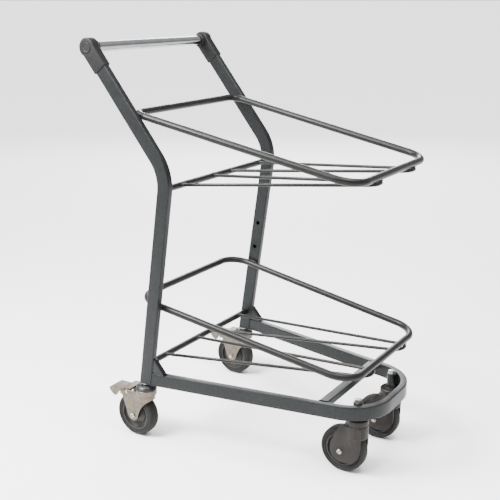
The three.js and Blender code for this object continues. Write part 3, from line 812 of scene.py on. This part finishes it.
# ---- wheels
# half sections from the inside out, as (radius, half width)
wheel = {
    "radius": 50,
    "tyre": [(37.3, 12.6), (38.6, 13.9), (40.4, 14.2), (41.0, 13.5), (41.8, 13.5), (42.4, 14.8),
             (44.4, 14.9), (46.6, 13.8), (48.6, 11.4), (49.7, 8.4), (50, 4.5)],
    "core": [(6.3, 14.5), (10.5, 14.5), (11.4, 6.4), (17, 5), (21.6, 5), (22.6, 7.6), (25, 7.6),
             (26, 5), (31, 6), (32.4, 8.5), (33, 12.2), (34.4, 12.9), (37, 12.5)],
}


def bothHalves(section):
    # a whole ring outline from half of it: (radius, half width) from the inside out
    return [(r, -half) for r, half in section] + [(r, half) for r, half in reversed(section)]


def makeWheel(kind, side, plateOuter):
    centre = joints[f"{kind}_wheel_{side}_spin"]
    body, fork = f"{kind}_roller_{side}", f"{kind}_swivel_{side}"
    bm = bmesh.new()
    turn(bm, softened(bothHalves(wheel["tyre"]), 0.9, 3), centre, "Y", 96)
    addPiece(f"{kind}_tyre_band_{side}", bm, "tyre_rubber", body, [f"{kind}_tyre_{side}"], sharp=45)
    bm = bmesh.new()
    turn(bm, softened(bothHalves(wheel["core"]), 0.9, 3), centre, "Y", 72)
    addPiece(f"{kind}_wheel_centre_{side}", bm, "wheel_core", body, [f"{kind}_wheel_{side}"])
    makeAxle(kind, side, centre, fork, plateOuter)


def hexagon(acrossFlats):
    corner = acrossFlats / 2 / math.cos(math.pi / 6)
    return [(corner * math.cos(math.pi / 3 * k), corner * math.sin(math.pi / 3 * k)) for k in range(6)]


def hexHead(name, acrossFlats, low, high, centre, axis, chamferAt):
    # a hexagon whose corners are turned off at one end
    bm = bmesh.new()
    slab(bm, hexagon(acrossFlats), low, high, centre, axis)
    head = draft(bm, name)
    corner = acrossFlats / 2 / math.cos(math.pi / 6)
    near, far = (low, high) if chamferAt == "high" else (high, low)
    away = 1 if far > near else -1
    bm = bmesh.new()
    turn(bm, [(0, near - away), (corner + 1, near - away), (corner + 1, far - away * 1.1),
              (acrossFlats / 2 * 0.96, far), (0, far)], centre, axis, 48)
    combine(head, draft(bm), "INTERSECT")
    return head


# the bolt's domed head and the nut's washer and collar, as (radius, distance out from the fork)
axle = {
    "head": [(5.9, 0), (5.9, 1.6), (5.2, 3.2), (3.8, 4.2), (2.2, 4.6), (2.0, 2.2), (0, 2.2)],
    "nutFlats": 10,
    "washer": [(3.9, 0), (5.9, 0), (5.9, 1.0), (4.8, 1.0), (4.7, 5.0), (3.9, 5.0)],
}


def makeAxle(kind, side, centre, fork, plateOuter):
    sign = sides[side]
    start = sign * plateOuter
    bm = bmesh.new()
    dome = [(0, -start - sign * 5.8), (3.8, -start - sign * 5.8), (3.8, start)]
    dome += [(radius, start + sign * out) for radius, out in axle["head"]]
    turn(bm, softened(dome, 0.5, 3, closed=False), centre, "Y", 40)
    addPiece(f"{kind}_axle_{side}", bm, "fastener_zinc", fork, [f"{kind}_axle_bolt_{side}"])
    low, high = sorted((-start - sign * 0.8, -start - sign * 4.2))
    nut = hexHead(f"{kind}_nut_{side}", axle["nutFlats"], low, high, centre, "Y",
                  "low" if sign > 0 else "high")
    bm = bmesh.new()
    washer = [(radius, -start - sign * out) for radius, out in axle["washer"]]
    turn(bm, softened(washer, 0.4, 2), centre, "Y", 40)
    combine(nut, draft(bm), "UNION")
    dress(nut, "fastener_zinc", fork, [f"{kind}_axle_nut_{side}"])


def around(kind, side):
    # the foot of a castor's swivel axis, on the floor
    pivot = joints[f"{kind}_swivel_{side}_turn"]
    return Vector((pivot.x, pivot.y, 0))


# ---- front castors
front = {
    "crown": 24, "crownLow": 84, "crownTop": 128, "neck": 14, "plate": 17.5, "thick": 4,
    "boltFlats": 14.8, "wheelRoom": 53,
}
frontTrail = (joints["front_swivel_left_turn"].x - joints["front_wheel_left_spin"].x) * 1000


def curve(start, control, end, steps=8):
    a, b, c = Vector(start), Vector(control), Vector(end)
    shares = [k / steps for k in range(1, steps + 1)]
    return [tuple(a * (1 - t) ** 2 + b * 2 * t * (1 - t) + c * t * t) for t in shares]


def makeFrontFork(side):
    foot = around("front", side)
    outer, crownX, top = front["plate"] + front["thick"], front["crown"], front["crownTop"]
    axleCentre = foot + Vector((-frontTrail, 0, wheel["radius"])) / 1000
    outline = [(17, 112), (-26, 112), (-40, 92), (-51, 62)]
    outline += curve((-51, 62), (-54, 44), (-46, 35)) + curve((-46, 35), (-38, 25), (-20, 25))
    outline += curve((-20, 25), (14, 27), (17, 60), 14)
    bm = bmesh.new()
    crown = [(0, front["crownLow"]), (22.8, front["crownLow"]), (crownX, front["crownLow"] + 3),
             (crownX, 113), (23.2, 113.6), (23.2, 115.4), (crownX, 116), (crownX, 125.5),
             (21.5, top), (front["neck"], top), (front["neck"] - 0.6, 130.6), (0, 130.6)]
    turn(bm, softened(crown, 0.7, 3, closed=False), foot, segments=80)
    fork = draft(bm, f"nylon_fork_{side}")
    for face in (-1, 1):
        bm = bmesh.new()
        slab(bm, softened(outline, 3, 3), *sorted((face * front["plate"], face * outer)), foot)
        plate = draft(bm)
        softenEdges(plate, 1.1, 3, 50)
        combine(fork, plate, "UNION")
        bm = bmesh.new()
        boss = [(0, outer - 2), (12.5, outer - 2), (11.8, outer + 0.3), (0, outer + 0.3)]
        boss = softened([(r, face * y) for r, y in boss], 0.4, 3, closed=False)
        turn(bm, boss, axleCentre, "Y", 48)
        combine(fork, draft(bm), "UNION")
    for radius, halfWidth in ((front["wheelRoom"], front["plate"]), (4.1, 40)):
        bm = bmesh.new()
        slab(bm, circleOutline(radius, 96), -halfWidth, halfWidth, axleCentre)
        combine(fork, draft(bm), "DIFFERENCE")
    for radius, low, high in ((11.6, 60, 114), (6.3, 60, 140)):
        bm = bmesh.new()
        slab(bm, circleOutline(radius, 48), low, high, foot, "Z")
        combine(fork, draft(bm), "DIFFERENCE")
    dress(fork, "castor_nylon", f"front_swivel_{side}", [f"front_fork_{side}"])


def makeFrontBolt(side):
    foot = around("front", side)
    head = hexHead(f"king_bolt_{side}", front["boltFlats"], 162.4, 167.8, foot, "Z", "high")
    bm = bmesh.new()
    shank = [(0, 104.6), (5.8, 104.6), (5.8, 161.2), (8.6, 161.2), (8.6, 162.6), (0, 162.6)]
    turn(bm, softened(shank, 0.4, 2, closed=False), foot, segments=40)
    combine(head, draft(bm), "UNION")
    dress(head, "fastener_zinc", "frame", [f"front_castor_bolt_{side}"])


# ---- rear castors
rear = {"plate": 17.2, "sheet": 2.5, "top": 110, "bendRadius": 4}
rearTrail = (joints["rear_swivel_left_turn"].x - joints["rear_wheel_left_spin"].x) * 1000
pedalPivot = ((joints["brake_pedal_left_press"].x - rearX) * 1000, joints["brake_pedal_left_press"].z * 1000)


def legOutline():
    made = [(20, 112), (-32, 112), (-36, 109.6), (-44, 109.2), (-48, 107), (-53, 102.5), (-57, 98)]
    made += curve((-57, 98), (-51, 84), (-43, 60)) + curve((-43, 60), (-38, 38), (-26, 38))
    made += curve((-26, 38), (-14, 38), (-10, 56)) + curve((-10, 56), (0, 84), (20, 93))
    return made


def wrapOutline(reach, rearEnd=-70):
    # the fork from above: straight legs beside the wheel, bent round the swivel in front
    angles = [math.pi * k / 40 for k in range(41)]
    wrapped = [(reach * math.sin(a), reach * math.cos(a)) for a in angles]
    return wrapped + [(rearEnd, -reach), (rearEnd, reach)]


def makeRearFork(side):
    foot = around("rear", side)
    outer, sheet, top = rear["plate"] + rear["sheet"], rear["sheet"], rear["top"]
    bm = bmesh.new()
    slab(bm, wrapOutline(outer), 20, top, foot, "Z")
    fork = draft(bm, f"pressed_fork_{side}")
    softenEdges(fork, rear["bendRadius"], 5, 60)
    bm = bmesh.new()
    slab(bm, wrapOutline(outer - sheet, -80), 10, top - sheet, foot, "Z")
    hollow = draft(bm)
    softenEdges(hollow, rear["bendRadius"] - 2, 4, 60)
    combine(fork, hollow, "DIFFERENCE")
    bm = bmesh.new()
    slab(bm, softened(legOutline(), 2, 3), -25, 25, foot)
    combine(fork, draft(bm), "INTERSECT")
    bm = bmesh.new()
    slab(bm, [(-80, 106.2), (-25, 106.2), (-25, 120), (-80, 120)], -15.5, 15.5, foot)
    combine(fork, draft(bm), "DIFFERENCE")
    bm = bmesh.new()
    race = [(5.4, 107.2), (17, 107.2), (19, 104.2), (23.6, 104.2), (24, 116.2), (21.8, 116.4),
            (19.4, 110.4), (5.4, 110.4)]
    turn(bm, softened(race, 1, 3), foot, segments=72)
    combine(fork, draft(bm), "UNION")
    for (x, z), radius in (((-rearTrail, wheel["radius"]), 4.2), (pedalPivot, 2.2)):
        bm = bmesh.new()
        slab(bm, circleOutline(radius, 32), -40, 40, foot + Vector((x, 0, z)) / 1000)
        combine(fork, draft(bm), "DIFFERENCE")
    softenEdges(fork, 0.35, 2, 50)
    dress(fork, "castor_zinc", f"rear_swivel_{side}", [f"rear_fork_{side}"])


def makeSwivelHead(side):
    foot = around("rear", side)
    bm = bmesh.new()
    cap = [(5.3, 111.2), (16, 111.2), (18.4, 117), (23.9, 117), (23.6, 119.5), (20.5, 124.6),
           (14.5, 127.2), (5.3, 127.6)]
    turn(bm, softened(cap, 1.4, 4), foot, segments=72)
    cover = addPiece(f"race_cover_{side}", bm, "castor_zinc", "frame", [f"rear_swivel_cap_{side}"])
    # painted shade: the race cover takes the darkened copy of the zinc plate, standing in for the shade under the
    # upright
    cover.data.materials[0] = shadedRaceZinc
    bm = bmesh.new()
    pin = [(0, 101.8), (7, 101.8), (8, 104.2), (5, 104.4), (5, 128), (9, 128), (9, 130.7),
           (4, 130.7), (4, 160), (0, 160)]
    turn(bm, softened(pin, 0.5, 3, closed=False), foot, segments=48)
    addPiece(f"king_pin_{side}", bm, "fastener_zinc", "frame", [f"rear_kingpin_{side}"])


# seen from the side, in mm from the swivel axis and the floor; the treadle also has its bend radii
pedalShape = {
    "halfWidth": 19.4, "sheet": 2.2, "lugRadius": 4.5,
    "treadle": [(-27.3, 116.3, 0), (-47, 114.8, 9), (-57, 106.6, 9), (-89, 105.9, 5),
                (-93.4, 99.8, 0)],
    "cheek": [(-60, 106.6), (-89.6, 106.2), (-93.2, 99.8), (-86, 91), (-78.6, 86.6), (-73, 87.6),
              (-65, 99)],
    "lug": [(-33, 115.6), (-46, 114.6), (-51, 111)],
    "shoe": [(-70, 87.8), (-64, 90.8), (-58, 94.8), (-58, 106), (-70, 106)],
}


def makePedal(side):
    foot = around("rear", side)
    pivot = foot + Vector((pedalPivot[0], 0, pedalPivot[1])) / 1000
    wide, sheet, lugRadius = (pedalShape[key] for key in ("halfWidth", "sheet", "lugRadius"))
    spine = [(foot + Vector((x, 0, z)) / 1000, bend) for x, z, bend in pedalShape["treadle"]]
    bm = bmesh.new()
    sweep(bm, bentPath(spine, 8), boxOutline(sheet, 2 * wide, 0.9), Vector((0, 1, 0)))
    pedal = draft(bm, f"treadle_{side}")
    cheek = softened(pedalShape["cheek"], 3, 4)
    under = [math.pi + math.pi * k / 12 for k in range(13)]
    lug = pedalShape["lug"] + [(pedalPivot[0] - lugRadius, pedalPivot[1])] + [
        (pedalPivot[0] + lugRadius * math.cos(a), pedalPivot[1] + lugRadius * math.sin(a)) for a in under]
    inner = rear["plate"] - 0.3
    for outline, near, far in ((cheek, wide - sheet, wide - 0.05), (lug, inner - sheet, inner)):
        for face in (-1, 1):
            bm = bmesh.new()
            slab(bm, outline, *sorted((face * near, face * far)), foot)
            combine(pedal, draft(bm), "UNION")
    bm = bmesh.new()
    slab(bm, pedalShape["shoe"], -10, 10, foot)
    combine(pedal, draft(bm), "UNION")
    bm = bmesh.new()
    slab(bm, circleOutline(2.3, 24), -30, 30, pivot)
    combine(pedal, draft(bm), "DIFFERENCE")
    softenEdges(pedal, 0.5, 2, 50)
    dress(pedal, "castor_zinc", f"pedal_{side}", [f"brake_pedal_{side}"])
    bm = bmesh.new()
    reach = rear["plate"] + rear["sheet"]
    pin = [(0, -reach - 1.5), (2.6, -reach - 1.3), (3.4, -reach - 0.2), (2, -reach), (2, reach),
           (3.4, reach + 0.2), (2.6, reach + 1.3), (0, reach + 1.5)]
    turn(bm, softened(pin, 0.3, 2, closed=False), pivot, "Y", 32)
    addPiece(f"pedal_pin_{side}", bm, "fastener_zinc", f"rear_swivel_{side}", [f"brake_pin_{side}"])


# ---- CAD pieces that stay
def keepCadPieces():
    for row in frame["record"]["subparts"]:
        mesh = frame["nodes"][row["node"]].data
        mesh.materials.clear()
        mesh.materials.append(finishes[row["material_slot"]])


print("studio")
setCamera()
setStudio()
keepCadPieces()
print("frame")
makeUprights()
makeBase()
for tierName, tierShape in tiers.items():
    makeRing(tierName, tierShape)
    makeFloor(tierName, tierShape)
makeWelds()
print("handle")
makeHandle()
print("castors")
frontFace = front["plate"] + front["thick"] + 0.3  # the boss stands proud of the plate
rearFace = rear["plate"] + rear["sheet"]
for sideName in sides:
    makeFrontFork(sideName)
    makeFrontBolt(sideName)
    makeWheel("front", sideName, frontFace)
    makeRearFork(sideName)
    makeSwivelHead(sideName)
    makePedal(sideName)
    makeWheel("rear", sideName, rearFace)
